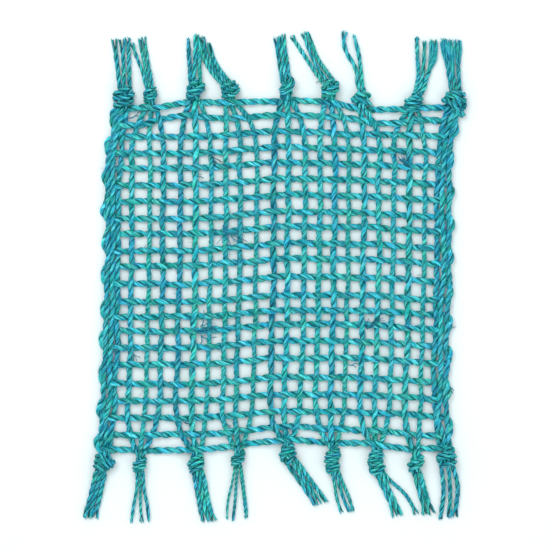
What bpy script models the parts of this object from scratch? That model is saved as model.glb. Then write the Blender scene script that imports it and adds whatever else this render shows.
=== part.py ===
"""A small hand-woven net of two-ply twine, lying flat, its warps tied off in a knotted fringe.

Metres, +Z up. The warps run along Y and the one weft runs to and fro along X. The origin is
on the surface that the net lies on, under the middle of its outline, and +Y is its top edge.
"""

import math

import bmesh
import bpy
from mathutils import Matrix, Vector

MM = 0.001

# The twine, pressed to an oval where it lies flat: every height is scaled by FLATTENING.
CORD_WIDTH = 4.0 * MM
SELVEDGE_CORD_WIDTH = 3.5 * MM
TAIL_WIDTH = 3.2 * MM
FLATTENING = 0.7
CORD_SIDES_LEVEL = 1  # a bevel resolution of 1 makes six sides
RISE = 2.7 * MM  # a cord's height above or below the mid-plane at a crossing, before flattening
MID_HEIGHT = FLATTENING * (RISE + CORD_WIDTH / 2)  # the mid-plane's height over the surface
GAP = 0.3 * MM

# The warps: three close ones in each selvedge, and the open ones between them. Each open warp
# has its place across the middle of the net, in millimetres, since the weave is uneven.
OPEN_WARP_X = (-98.6, -86.5, -76.7, -65.1, -54.4, -43.7, -33.0, -23.2, -11.6, 0.5,
               10.6, 22.2, 32.5, 42.8, 52.6, 63.3, 74.0, 84.3, 95.0, 105.7)
WARPS = len(OPEN_WARP_X)
SELVEDGE_WARPS = 3
SELVEDGE_PITCH = 4.1 * MM
LEFT_SELVEDGE_X = -111.7 * MM
RIGHT_SELVEDGE_X = 118.5 * MM
LEAN = 0.0166  # sideways drift of every warp per unit of height up the net
BOW = -0.111  # and its curvature, per metre

# The weft: rows numbered from the top, which turn round a selvedge at each end. In
# millimetres: the height up the net of each row's left end, and how far a row stands above it
# at places across the net.
ROW_Y = (119.4, 107.5, 97.7, 86.5, 76.0, 64.1, 52.9, 41.0, 30.5, 18.6, 8.1,
         -4.5, -17.1, -27.7, -37.5, -49.3, -61.2, -74.5, -86.4, -98.4, -109.5, -120.0)
ROWS = len(ROW_Y)
ARCH = ((-115, 0.0), (-60, 0.3), (-38, 1.0), (-17, 3.0), (0, 4.8),
        (15, 5.1), (60, 4.8), (79, 3.9), (100, 2.3), (115, 1.2))
SAG = 2.0 * MM  # the upper rows hang lower at the right, by a share of this that each row has
SAG_X = 62.0 * MM
SAG_WIDTH = 42.0 * MM
SAG_SHARES = {2: 1.0, 3: 1.0, 4: 0.9, 5: 0.5, 6: 0.4, 7: 0.3}
# The two rows next to each fringe are pulled about by the knots, so each has its own route.
EDGE_ROWS = {
    0: ((-108, 118.4), (-95, 118.0), (-82, 118.8), (-67, 124.8), (-52, 123.0), (-28, 121.9),
        (-6, 124.4), (14, 123.5), (38, 122.9), (48, 121.8), (61, 117.6), (71, 115.6),
        (91, 116.6), (98, 117.3), (108, 119.3), (128, 119.0)),
    1: ((-114, 105.6), (-95, 106.5), (-80, 109.6), (-65, 112.3), (-57, 113.2), (-47, 111.8),
        (-30, 111.1), (-12, 112.6), (2, 113.6), (12, 112.6), (38, 112.5), (51, 111.9),
        (60, 109.3), (72, 107.8), (84, 107.6), (100, 109.4), (130, 109.0)),
    20: ((-122, -109.2), (-89, -109.9), (-65, -109.5), (-40, -109.4), (-26, -107.5),
         (-10, -105.4), (2, -104.3), (19, -104.1), (37, -105.6), (61, -106.4), (76, -106.9),
         (89, -109.2), (103, -110.3), (122, -111.0)),
    21: ((-122, -120.6), (-84, -121.2), (-50, -120.0), (-21, -116.9), (-10, -113.6),
         (2, -113.0), (16, -113.1), (37, -115.2), (45, -115.4), (62, -114.0), (76, -117.2),
         (98, -120.3), (122, -119.2)),
}
BUNDLE_OVERHANG = 0.6 * MM  # the weft stays level this far past a bundle's outer warps
TURN_REACH = 4.3 * MM
SHOULDER_REACH = 0.8  # how far out a turn's shoulders are, as a share of its reach,
SHOULDER_DROP = 0.4  # how far along the turn they are, as a share of half its length,
SHOULDER_HEIGHT = 0.62  # and how much of the row's height they keep
MEETING_RUN = 1.8 * MM  # where two passes meet, each ends in a straight run of this length
ROWS_IN_PASS = 2

# The knots: a gathered group of warps ends at each, and its tails go on past it.
KNOT_RADIUS = 5.0 * MM
KNOT_HEIGHT = 4.6 * MM
KNOT_SUBDIVISIONS = 2
KNOT_SPACING = 4.5 * MM  # between gathered warps, centre to centre
KNOT_STAND_OFF = 0.5 * MM  # the warps stop this far short of their knot
GATHER = (1.0, 0.35, 0.1)  # how far each row from the knot is drawn towards it
SELVEDGE_GATHER = (0.95, 0.55, 0.3, 0.1)
TAIL_HEIGHT = TAIL_WIDTH / 2
TAIL_SPACING = 0.8 * TAIL_WIDTH  # between tails where they come down to the surface
TAIL_CROWDING = 0.5  # and, as a share of that, inside the knot
TAIL_LANDING = 0.3  # share of a tail's run where it comes down
LANDING_SPREAD = 0.7  # how much of the spacing the landing adds to the straight run
LANDING_HEIGHT = TAIL_HEIGHT + 0.2 * MM
TAIL_ROOT_DROP = 0.8 * MM  # how far below the knot's middle the tails begin
WELD = 0.01 * MM  # points this close in one tube are the same point

TWINE = (0.012, 0.36, 0.37)
ROUGHNESS = 0.85
SHADE_SWING = 0.16  # how much lighter or darker the twine of one node is than of the next
SHADE_STEP = 2.4

# One line per knot, left to right, in millimetres: where it lies, how many warps are tied in
# it, and where the tips of its tails lie.
TOP_TASSELS = (
    ((-104.0, 127.4), 3, ((-112.4, 166.2), (-105.0, 168.0))),
    ((-85.0, 128.6), 3, ((-97.4, 163.4), (-90.0, 167.6))),
    ((-54.2, 131.4), 3, ((-59.2, 167.0), (-54.2, 169.0))),
    ((-29.4, 131.6), 3, ((-48.6, 166.2), (-43.4, 163.6))),
    ((9.4, 132.0), 3, ((2.4, 166.2), (7.4, 169.8))),
    ((40.2, 131.8), 3, ((16.0, 168.4), (24.2, 170.6))),
    ((62.6, 127.6), 2, ((50.0, 170.4), (57.0, 169.0))),
    ((97.6, 125.4), 3, ((101.2, 168.4), (106.0, 164.8), (111.8, 165.6))),
    ((127.7, 126.8), 3, ((118.2, 166.2), (125.0, 166.8), (129.8, 163.4))),
)
BOTTOM_TASSELS = (
    ((-117.2, -128.8), 3, ((-133.2, -167.6), (-124.6, -167.6))),
    ((-92.8, -131.2), 3, ((-98.4, -171.2), (-92.4, -171.2), (-86.4, -170.4))),
    ((-53.2, -129.8), 3, ((-47.6, -170.4), (-41.6, -169.8))),
    ((-23.4, -127.0), 3, ((-33.8, -168.4), (-27.6, -169.0), (-17.8, -167.0))),
    ((10.2, -122.8), 3, ((29.8, -159.2), (36.8, -156.4))),
    ((41.6, -126.4), 3, ((48.0, -163.4), (55.6, -162.0))),
    ((71.8, -127.0), 3, ((84.4, -166.2), (91.0, -166.0), (99.6, -164.8))),
    ((99.8, -131.2), 2, ((106.0, -166.4), (111.4, -165.8))),
    ((122.2, -128.2), 3, ((117.4, -169.0), (123.6, -167.6), (128.6, -166.2))),
)
TOP, BOTTOM = 1, -1
TOTAL_WARPS = WARPS + 2 * SELVEDGE_WARPS


def clear_scene():
    for obj in list(bpy.data.objects):
        bpy.data.objects.remove(obj, do_unlink=True)


def new_collection(name, hidden=False):
    collection = bpy.data.collections.new(name)
    collection.hide_render = hidden
    bpy.context.scene.collection.children.link(collection)
    return collection


def twine_material(name, shade):
    """Dyed twine, a little lighter or darker than the rest by the factor shade."""
    material = bpy.data.materials.new(name)
    material.use_nodes = True
    shader = material.node_tree.nodes["Principled BSDF"]
    colour = [channel * shade for channel in TWINE] + [1.0]
    shader.inputs["Base Color"].default_value = colour
    shader.inputs["Roughness"].default_value = ROUGHNESS
    shader.inputs["Metallic"].default_value = 0.0
    material.diffuse_color = colour
    return material


def shade_of(index):
    return 1.0 + SHADE_SWING * math.sin(SHADE_STEP * index)


def tube(name, points, width, collection, flattening=FLATTENING, height=MID_HEIGHT):
    """A six-sided cord through the points, whose heights count from the mid-plane."""
    curve = bpy.data.curves.new(name, "CURVE")
    curve.dimensions = "3D"
    curve.bevel_depth = width / 2
    curve.bevel_resolution = CORD_SIDES_LEVEL
    curve.use_fill_caps = True
    spline = curve.splines.new("POLY")
    spline.points.add(len(points) - 1)
    for spot, point in zip(spline.points, points):
        spot.co = (*point, 1.0)
    obj = bpy.data.objects.new(name, curve)
    obj.location.z = height
    obj.scale.z = flattening
    collection.objects.link(obj)
    return obj


def along_route(route, x):
    """The height at x of a line through a route's points, which are in millimetres."""
    before = route[0]
    for after in route:
        if x < after[0] * MM:
            break
        before = after
    run = after[0] - before[0]
    share = (x / MM - before[0]) / run if run else 0.0
    return (before[1] + (after[1] - before[1]) * share) * MM


def row_y(row, x):
    """The height up the net of a row, numbered from 0, where it passes x."""
    if row in EDGE_ROWS:
        return along_route(EDGE_ROWS[row], x)
    sag = SAG * SAG_SHARES.get(row, 0.0) * math.exp(-(((x - SAG_X) / SAG_WIDTH) ** 2))
    return ROW_Y[row] * MM + along_route(ARCH, x) - sag


def is_selvedge(warp):
    return warp < SELVEDGE_WARPS or warp >= SELVEDGE_WARPS + WARPS


def lane_x(warp):
    """A warp's place across the net, numbered from 0 at the left selvedge's outer one."""
    if warp < SELVEDGE_WARPS:
        return LEFT_SELVEDGE_X + (warp - 1) * SELVEDGE_PITCH
    if is_selvedge(warp):
        return RIGHT_SELVEDGE_X + (warp - SELVEDGE_WARPS - WARPS - 1) * SELVEDGE_PITCH
    return OPEN_WARP_X[warp - SELVEDGE_WARPS] * MM


def knotted_groups(tassels):
    """For each warp, the middle of its knot, and its place beside it once gathered."""
    places = []
    for (knot_x, knot_y), count, _ in tassels:
        for member in range(count):
            offset = member - (count - 1) / 2
            places.append((knot_x * MM, knot_y * MM, offset))
    return places


TOP_PLACES = knotted_groups(TOP_TASSELS)
BOTTOM_PLACES = knotted_groups(BOTTOM_TASSELS)


def gathered_spacing(warp):
    return SELVEDGE_PITCH if is_selvedge(warp) else KNOT_SPACING


def crossing(warp, row):
    """Where a warp crosses a row, in plan."""
    y = ROW_Y[row] * MM
    x = lane_x(warp) + LEAN * y + BOW * y * y
    gather = SELVEDGE_GATHER if is_selvedge(warp) else GATHER
    for places, steps in ((TOP_PLACES, row), (BOTTOM_PLACES, ROWS - 1 - row)):
        if steps < len(gather):
            knot_x, _, offset = places[warp]
            target = knot_x + offset * gathered_spacing(warp)
            x += gather[steps] * (target - x)
    return Vector((x, row_y(row, x), 0.0))


def group_index(warp, tassels):
    """Which knot, from the left, a warp is tied in."""
    passed = 0
    for index, (_, count, _) in enumerate(tassels):
        passed += count
        if warp < passed:
            return index
    raise ValueError(warp)


def weft_is_over(warp, row):
    """Plain weave: one over, one under. Each selvedge, and in the first and last rows each
    gathered group, counts as one thick warp."""
    if row == 0:
        return group_index(warp, TOP_TASSELS) % 2 == 1
    if row == ROWS - 1:
        return group_index(warp, BOTTOM_TASSELS) % 2 == 0
    if warp < SELVEDGE_WARPS:
        end = 0
    elif is_selvedge(warp):
        end = WARPS + 1
    else:
        end = warp - SELVEDGE_WARPS + 1
    return (row + 1 + end) % 2 == 0


def at_height(point, height):
    return Vector((point.x, point.y, height))


def warp_points(warp):
    """Down the net: the end at the top knot, one point per row, the end at the bottom knot."""
    points = []
    for row in range(ROWS):
        height = -RISE if weft_is_over(warp, row) else RISE
        points.append(at_height(crossing(warp, row), height))
    ends = []
    for places, side, near in ((TOP_PLACES, TOP, points[0]), (BOTTOM_PLACES, BOTTOM, points[-1])):
        knot_x, knot_y, offset = places[warp]
        reach = KNOT_RADIUS + KNOT_STAND_OFF
        x = knot_x + offset * gathered_spacing(warp)
        ends.append(Vector((x, knot_y - side * reach, near.z)))
    return [ends[0], *points, ends[1]]


def bundles(row):
    """The warps, left to right, in the groups that the weft passes as one."""
    tassels = {0: TOP_TASSELS, ROWS - 1: BOTTOM_TASSELS}.get(row)
    if tassels:
        counts = [count for _, count, _ in tassels]
    else:
        counts = [SELVEDGE_WARPS] + [1] * WARPS + [SELVEDGE_WARPS]
    first = 0
    for count in counts:
        yield list(range(first, first + count))
        first += count


def row_points(row):
    """One row of the weft, left to right, without its turns."""
    points = []
    for group in bundles(row):
        height = RISE if weft_is_over(group[0], row) else -RISE
        places = [at_height(crossing(warp, row), height) for warp in group]
        if len(group) == 1:
            points += places
            continue
        first, last = places[0], places[-1]
        left_x = first.x - BUNDLE_OVERHANG
        right_x = last.x + BUNDLE_OVERHANG
        points.append(Vector((left_x, row_y(row, left_x), height)))
        points.append(Vector((right_x, row_y(row, right_x), height)))
    return points


def turn_points(above, below, outward):
    """The weft's turn round a selvedge, from the end of the row above to the row below."""
    middle = (above + below) / 2
    farther = above.x if outward * above.x > outward * below.x else below.x
    outermost = farther + outward * TURN_REACH
    shoulders = []
    for end in (above, below):
        x = end.x + outward * TURN_REACH * SHOULDER_REACH
        y = end.y + (middle.y - end.y) * SHOULDER_DROP
        shoulders.append(Vector((x, y, end.z * SHOULDER_HEIGHT)))
    return [shoulders[0], Vector((outermost, middle.y, 0.0)), shoulders[1]]


def meeting_run(middle, side):
    """The straight end of a pass at the middle of a turn, from where it meets the next pass."""
    return [middle + Vector((0, side * reach, 0)) for reach in (GAP / 2, MEETING_RUN)]


def weft_pass_points(first_row):
    """Two rows joined round the left selvedge, with half a turn at the right of each."""
    upper, lower = row_points(first_row), row_points(first_row + 1)
    left_turn = turn_points(upper[0], lower[0], -1)
    points = [*reversed(upper), *left_turn, *lower]
    if first_row > 0:
        before = row_points(first_row - 1)[-1]
        _, middle, shoulder = turn_points(before, upper[-1], 1)
        points = [*meeting_run(middle, BOTTOM), shoulder, *points]
    if first_row + ROWS_IN_PASS < ROWS:
        after = row_points(first_row + ROWS_IN_PASS)[-1]
        shoulder, middle, _ = turn_points(lower[-1], after, 1)
        points = [*points, shoulder, *reversed(meeting_run(middle, TOP))]
    return points


def joined(name, pieces, collection, helpers):
    """One closed body out of several overlapping closed ones, the later ones kept in helpers."""
    graph = bpy.context.evaluated_depsgraph_get()
    meshes = []
    for piece in pieces:
        mesh = bpy.data.meshes.new_from_object(piece.evaluated_get(graph))
        mesh.transform(piece.matrix_world)
        shape = bmesh.new()
        shape.from_mesh(mesh)
        bmesh.ops.remove_doubles(shape, verts=shape.verts, dist=WELD)
        bmesh.ops.recalc_face_normals(shape, faces=shape.faces)
        shape.to_mesh(mesh)
        shape.free()
        meshes.append(bpy.data.objects.new(mesh.name, mesh))
        bpy.data.objects.remove(piece)
    whole, *others = meshes
    collection.objects.link(whole)
    whole.name = name
    for other in others:
        helpers.objects.link(other)
        other.display_type = "WIRE"
        other.hide_render = True
        union = whole.modifiers.new("join", "BOOLEAN")
        union.operation = "UNION"
        union.object = other
    return whole


def knot_ball(name, centre, collection):
    """A knot's rounded mass, cut flat where it rests on the surface."""
    mesh = bpy.data.meshes.new(name)
    ball = bmesh.new()
    bmesh.ops.create_icosphere(ball, subdivisions=KNOT_SUBDIVISIONS, radius=KNOT_RADIUS)
    bmesh.ops.translate(ball, verts=ball.verts, vec=centre)
    cut = bmesh.ops.bisect_plane(
        ball,
        geom=[*ball.verts, *ball.edges, *ball.faces],
        plane_co=(0, 0, 0),
        plane_no=(0, 0, -1),
        clear_outer=True,
    )
    rim = [item for item in cut["geom_cut"] if isinstance(item, bmesh.types.BMEdge)]
    bmesh.ops.edgeloop_fill(ball, edges=rim)
    bmesh.ops.recalc_face_normals(ball, faces=ball.faces)
    ball.to_mesh(mesh)
    ball.free()
    obj = bpy.data.objects.new(name, mesh)
    collection.objects.link(obj)
    return obj


def tassel(name, knot, tips, collection, helpers):
    """A knot with its tails, whose origin is on its hinge line through the knot."""
    centre = Vector((knot[0] * MM, knot[1] * MM, KNOT_HEIGHT))
    pieces = [knot_ball(name + "_knot", centre, collection)]
    count = len(tips)
    for index, tip in enumerate(tips):
        offset = (index - (count - 1) / 2) * TAIL_SPACING
        end = Vector((tip[0] * MM, tip[1] * MM, TAIL_HEIGHT))
        start = centre + Vector((offset * TAIL_CROWDING, 0, -TAIL_ROOT_DROP))
        landing = start.lerp(end, TAIL_LANDING) + Vector((offset * LANDING_SPREAD, 0, 0))
        points = [start, at_height(landing, LANDING_HEIGHT), end]
        pieces.append(tube(f"{name}_tail_{index}", points, TAIL_WIDTH, collection, 1.0, 0.0))
    bpy.context.view_layer.update()
    whole = joined(name, pieces, collection, helpers)
    whole.data.transform(Matrix.Translation(-centre))
    whole.location = centre
    return whole


def give_material(obj, index):
    obj.data.materials.clear()
    obj.data.materials.append(twine_material(obj.name + "_twine", shade_of(index)))


def warp_name(warp):
    if warp < SELVEDGE_WARPS:
        return f"left_selvedge_warp_{warp + 1}"
    if is_selvedge(warp):
        return f"right_selvedge_warp_{warp - SELVEDGE_WARPS - WARPS + 1}"
    return f"warp_{warp - SELVEDGE_WARPS + 1:02d}"


def build(collection, helpers):
    made = []
    for warp in range(TOTAL_WARPS):
        width = SELVEDGE_CORD_WIDTH if is_selvedge(warp) else CORD_WIDTH
        made.append(tube(warp_name(warp), warp_points(warp), width, collection))
    for index, row in enumerate(range(0, ROWS, ROWS_IN_PASS)):
        name = f"weft_pass_{index + 1:02d}"
        made.append(tube(name, weft_pass_points(row), CORD_WIDTH, collection))
    for edge, tassels in (("top", TOP_TASSELS), ("bottom", BOTTOM_TASSELS)):
        for index, (knot, _, tips) in enumerate(tassels):
            made.append(tassel(f"{edge}_tassel_{index + 1}", knot, tips, collection, helpers))
    for index, obj in enumerate(made):
        give_material(obj, index)


clear_scene()
build(new_collection("hay_net"), new_collection("helpers", hidden=True))
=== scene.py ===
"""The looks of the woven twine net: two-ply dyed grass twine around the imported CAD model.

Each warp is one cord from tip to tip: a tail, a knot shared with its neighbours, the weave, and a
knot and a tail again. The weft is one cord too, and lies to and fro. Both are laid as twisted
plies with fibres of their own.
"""

import math
import zlib

import bpy
import numpy as np
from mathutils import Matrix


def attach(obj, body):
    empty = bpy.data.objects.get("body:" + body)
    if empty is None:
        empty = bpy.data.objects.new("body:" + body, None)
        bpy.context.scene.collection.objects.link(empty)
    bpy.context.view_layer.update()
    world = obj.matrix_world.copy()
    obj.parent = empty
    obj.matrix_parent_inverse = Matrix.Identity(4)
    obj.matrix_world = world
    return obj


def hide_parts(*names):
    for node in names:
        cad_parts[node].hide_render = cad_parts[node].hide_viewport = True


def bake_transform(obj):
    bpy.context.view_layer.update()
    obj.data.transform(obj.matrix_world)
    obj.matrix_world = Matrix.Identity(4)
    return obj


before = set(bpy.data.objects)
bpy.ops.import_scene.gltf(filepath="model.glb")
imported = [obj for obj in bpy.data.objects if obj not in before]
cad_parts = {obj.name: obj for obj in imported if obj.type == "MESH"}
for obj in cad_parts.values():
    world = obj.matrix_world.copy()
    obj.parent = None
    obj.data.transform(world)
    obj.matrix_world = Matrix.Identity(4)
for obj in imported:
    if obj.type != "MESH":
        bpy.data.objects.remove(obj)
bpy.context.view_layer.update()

MM = 0.001
UP = np.array((0.0, 0.0, 1.0))
NET = "woven_net"

# The weave: 3 selvedge warps, 20 open warps and 3 selvedge warps, crossed by 22 rows of weft.
# Each warp's place is where it would cross the net's middle, in mm.
SELVEDGE_WARPS = 3
OPEN_WARP_X = (-98.6, -86.5, -76.7, -65.1, -54.4, -43.7, -33, -23.2, -11.6, 0.5,
               10.6, 22.2, 32.5, 42.8, 52.6, 63.3, 74, 84.3, 95, 105.7)
LEFT_SELVEDGE_X = (-115.4, -111.7, -108.1)
RIGHT_SELVEDGE_X = (114.4, 118.5, 122.6)
# A warp's width beside the usual one, the length of its twist in mm, which way its dye leans
# (1 blue, -1 green), and how light it is.
WARP_LOOKS = ((1, 13, 0.3, 1), (0.86, 8, -0.2, 1), (1, 13, 0.2, 1), (1, 11, 0.6, 0.85),
              (1.14, 18, -0.1, 1.15), (0.86, 8, -0.2, 1), (0.95, 9, -0.2, 1.05),
              (0.95, 8, 0, 0.9), (0.86, 8, -0.3, 0.95), (1.1, 18, 0.5, 1), (1.05, 13, 0, 1.15),
              (1, 11, 0, 1), (1, 10, -0.1, 1), (1.1, 15, 0.4, 1.05), (0.86, 8, -0.4, 0.85),
              (1.1, 18, 0.4, 1.05), (1, 12, -0.1, 1.1), (0.95, 8, 0, 0.9), (1.14, 18, -0.2, 1.1),
              (0.86, 9, -0.1, 0.95))
SELVEDGE_LOOK = (1, 13, 0.25, 0.95)
LANES = np.array(LEFT_SELVEDGE_X + OPEN_WARP_X + RIGHT_SELVEDGE_X) * MM
WARPS = len(LANES)
LEAN = 0.0166  # how far every warp leans to the right
BOW = -0.111  # and how far it bows, per metre
# The height up the net of each row's left end, from the top row down.
ROW_Y = np.array((119.4, 107.5, 97.7, 86.5, 76, 64.1, 52.9, 41, 30.5, 18.6, 8.1, -4.5,
                  -17.1, -27.7, -37.5, -49.3, -61.2, -74.5, -86.4, -98.4, -109.5, -120)) * MM
ROWS = len(ROW_Y)
# How far the rows stand above their left ends, across the net, in mm.
ARCH = ((-115, 0), (-60, 0.3), (-38, 1), (-17, 3), (0, 4.8), (15, 5.1), (60, 4.8), (79, 3.9),
        (100, 2.3), (115, 1.2))
SAG = 2 * MM  # the upper rows hang lower at the right, each by its share of this
SAG_X = 62 * MM
SAG_WIDTH = 42 * MM
SAG_SHARES = {2: 1.0, 3: 1.0, 4: 0.9, 5: 0.5, 6: 0.4, 7: 0.3}
# How far a warp is drawn towards its knot, in the rows next to it.
GATHER = (0.97, 0.42, 0.12)
SELVEDGE_GATHER = (0.9, 0.55, 0.3, 0.1)
KNOT_SPACING = 3.1 * MM  # between the warps of one knot
# How far the weft's turns reach out past the selvedges: the first four, then the rest.
FIRST_TURNS = (1.2 * MM, 1 * MM, 1.4 * MM, 0.6 * MM)
LEFT_REACH = 2.8 * MM
RIGHT_REACH = 1.8 * MM
REACH_VARIES = (0.8, 1.2)
MID_HEIGHT = 3.2 * MM  # the middle of the weave
OVER_RISE = 1.4 * MM  # how far above or below it a cord passes at a crossing
OUTER_RISE = (-0.6, 0.5)  # what the outermost warps add to that, in mm
WARP_SWAY = 0.35  # how far cords stray from their places, in mm
SELVEDGE_SWAY = 0.6
WEFT_SWAY = 0.3
TURN_SWAY = 0.25
SWAY_ROWS = 2  # over which a warp's sway builds up
TURN_SHAPE = ((0.28, 0.8), (0.5, 1.0), (0.72, 0.8))  # how far along a turn, and how far out
WEFT_STUB = ((133.2, 112.6, 4.4), (130.0, 115.8, 6.2))  # the weft's cut start, in mm
LEFT_TURN = 2.6 * MM  # how high the weft lies where it turns back
RIGHT_TURN = 4.6 * MM
SPLIT_EASE = 2 * MM  # the width changes this far from a piece's end
WEAVE_EASE = 3 * MM  # and over this length the weave gets its own shape

# The rows at the two edges are pulled about by the knots, so each has a route of its own, in mm.
EDGE_ROWS = {
    0: ((-108, 118.4), (-95, 118), (-82, 118.8), (-67, 124.8), (-60, 123.6), (-52, 123),
        (-28, 121.9), (-20, 122.2), (-6, 124.4), (5, 123.9), (14, 123.5), (38, 122.9),
        (48, 121.8), (61, 117.6), (71, 115.6), (91, 116.6), (98, 117.3), (108, 119.3),
        (128, 119)),
    1: ((-114, 105.6), (-95, 106.5), (-80, 109.6), (-65, 112.3), (-57, 113.2), (-47, 111.8),
        (-30, 111.1), (-12, 112.6), (2, 113.6), (12, 112.6), (25, 112.9), (38, 112.5),
        (51, 111.9), (60, 109.3), (72, 107.8), (84, 107.6), (100, 109.4), (112, 109.6),
        (130, 109)),
    20: ((-122, -109.2), (-112, -109.5), (-89, -109.9), (-65, -109.5), (-40, -109.4),
         (-26, -107.5), (-10, -105.4), (2, -104.3), (19, -104.1), (37, -105.6), (61, -106.4),
         (76, -106.9), (89, -109.2), (103, -110.3), (122, -111)),
    21: ((-122, -120.6), (-112, -120.4), (-88, -120.8), (-84, -121.2), (-60, -120.4),
         (-50, -120), (-30, -118.3), (-21, -116.9), (-10, -113.6), (2, -113), (16, -113.1),
         (37, -115.2), (45, -115.4), (62, -114), (76, -117.2), (98, -120.3), (105, -120),
         (122, -119.2)),
}

# The tassels, in mm: the knot's middle, and for each warp it ties, its tail's tip or the places
# that it passes through on the way there. "tilt" turns the knot, in degrees, and "wide" and
# "tall" stretch it, before it is drawn tight. "cord" is how wide its strands are, and "tails"
# how wide each tail is. "neck" is how far its tails are drawn together at first, "double" gives
# it a second round, and "open" is how far each tail has come untwisted.
TOP_TASSELS = (
    ((-104, 125.6), ((-110.6, 166.3), (-105.4, 166.3), (-101.5, 167.3)),
     dict(tilt=-45, wide=1.15, tall=0.95, cord=3.3, tails=(3.6, 3.4, 3.6))),
    ((-85.1, 127.2), ((-98, 163.5), (-92.8, 166.3), (-90.3, 167.7)),
     dict(tilt=-32, wide=0.8, tall=0.8, cord=2.5, tails=(2.8, 2.7, 2.9), neck=0.3)),
    ((-54.3, 131.3), ((-58.8, 166.6), (-52.9, 169.1), (-51.5, 167.7)),
     dict(tilt=-12, wide=1.15, tall=1, cord=3, tails=(3.6, 3.4, 3.2))),
    ((-29.4, 130.8), (((-42.5, 144), (-48.3, 154.4), (-50.8, 165.6)),
                      ((-40.5, 145.5), (-46.5, 156), (-49, 167.7)),
                      ((-37.5, 144.5), (-42, 154.4), (-44.5, 163.5))),
     dict(tilt=-60, wide=1.1, tall=0.95, cord=2.9, tails=(3.2, 3.2, 3.4))),
    ((10.2, 131.6), ((2.4, 167), (5.2, 168), (7.6, 169.8)),
     dict(tilt=5, wide=0.9, tall=1.05, cord=2.8, tails=(3.2, 3, 3))),
    ((40.3, 131.6), (((27, 148), (13.6, 168.4)), ((28.5, 152), (21.5, 170.5)),
                     ((31.5, 153), (24.5, 171.4))),
     dict(tilt=-40, wide=1.05, tall=0.95, cord=3.1, tails=(3.2, 3, 3.4))),
    ((62.7, 124.2), (((60.6, 134.5), (58.6, 146), (51.5, 157), (49.6, 165), (50.2, 171.6)),
                     ((61.6, 135), (61.4, 148.5), (59.6, 158.8), (57, 168.8))),
     dict(tilt=-92, wide=0.72, tall=0.95, cord=3.4, tails=(3.4, 3.4))),
    ((97.7, 122.2), (((102.6, 132.5), (101.6, 148), (100.8, 167.6)),
                     ((103.4, 133), (105.3, 146), (106.4, 164.6)),
                     ((104.2, 133.5), (108.2, 141.7), (112.2, 153.7), (112.4, 165.7))),
     dict(tilt=-6, wide=1.25, tall=0.72, cord=2.9, tails=(3.2, 3, 3.6), open=(4, 6, 26))),
    ((127.2, 123.6), ((119.7, 166.3), (122.9, 165.6), (129.2, 165.6)),
     dict(tilt=-100, wide=1.1, tall=1.15, cord=3.3, tails=(3.4, 3.2, 3.6), open=(22, 28, 20))),
)
BOTTOM_TASSELS = (
    ((-117.3, -128.6), ((-131.3, -167.7), (-128.5, -167.7), (-124.3, -167.7)),
     dict(tilt=-92, wide=1, tall=1.05, cord=3, tails=(3.6, 3.4, 3.8))),
    ((-92.4, -130.6), ((-98.7, -170.5), (-91.4, -170.5), (-86.5, -169.8)),
     dict(tilt=-30, wide=0.82, tall=0.82, cord=2.4, tails=(2.6, 2.3, 2.8), neck=0.3)),
    ((-53.2, -129.2), ((-48.7, -169.8), (-44.8, -169.8), (-41, -169.8)),
     dict(tilt=-28, wide=0.95, tall=1, cord=2.8, tails=(3.6, 3.4, 3.8))),
    ((-23.8, -126.3), ((-31.9, -168.4), (-27.7, -169.4), (-18.2, -167.7)),
     dict(tilt=-28, wide=0.85, tall=1.05, cord=2.4, tails=(2, 2.4, 3.2))),
    ((10.2, -122.9), ((29.8, -158.6), (32.6, -157.9), (37.5, -156.5)),
     dict(tilt=-10, wide=0.9, tall=0.95, cord=3, tails=(3.8, 3.4, 3.6))),
    ((41.7, -127.1), ((48, -163.8), (53.5, -163.2), (56.2, -162.6)),
     dict(tilt=-24, wide=0.95, tall=1.1, cord=2.5, tails=(2.6, 2.8, 2.8), double=True)),
    ((71.8, -127.6), ((85.8, -166.6), (90, -165.6),
                      ((79, -139), (93, -151.5), (100.5, -164.9))),
     dict(tilt=-24, wide=1, tall=0.95, cord=2.6, tails=(3.6, 3.6, 3), double=True)),
    ((99.8, -130.2), ((106.5, -165.2), (111.3, -164.9)),
     dict(tilt=-35, wide=1, tall=0.95, cord=3.4, tails=(4, 4.2))),
    ((121.8, -125.2), (((119.6, -149), (117.3, -168.6)), ((124.2, -150), (123.4, -167.4)),
                       ((129.4, -144.2), (128.8, -155.7), (127.2, -166.8))),
     dict(tilt=-50, wide=1.15, tall=0.95, cord=3.2, tails=(3.6, 3.2, 3.8))),
)

# Tufts of fibres that have worked loose: x and y in mm, heading in degrees, length in mm,
# number, curl, and whether they lie on top of the weave or hang down through it.
TUFTS = ((-101, 112, 10, 11, 2, 0.7, False), (-42, 84, -60, 9, 5, 0.4, False),
         (-51, -37.5, 2, 15, 9, 0.08, True), (-50, -34, 30, 12, 2, 0.3, True),
         (-50, -40, -50, 10, 2, 0.8, False), (95, 78, 132, 9.5, 20, 0.25, True),
         (-97, -54, -30, 6, 3, 0.5, False), (-62, -100, -20, 6, 3, 0.5, False),
         (-32, -102, -60, 6, 3, 0.5, False), (66, -35, 24, 13, 9, 0.15, True),
         (66, -36, 80, 7, 2, 0.5, False), (72, -57, 60, 7, 3, 0.8, False),
         (54, -60, 10, 9, 2, 1.2, False), (86, -44, -80, 8, 3, 0.4, False),
         (123, -34, -50, 4.5, 2, 0.6, False), (123, -76, -40, 6, 3, 0.6, False),
         (-34, 36.5, -62, 19, 10, 0.25, True), (37.5, 138.5, 190, 8, 4, 0.4, False),
         (-59, 84, 60, 4, 3, 0.8, False), (-54, 72, -30, 6, 4, 0.5, False))
TUFT_LIFT = {True: (5.8, 7.0), False: (3.5, 6.0)}  # the height a tuft starts from, in mm
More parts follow.
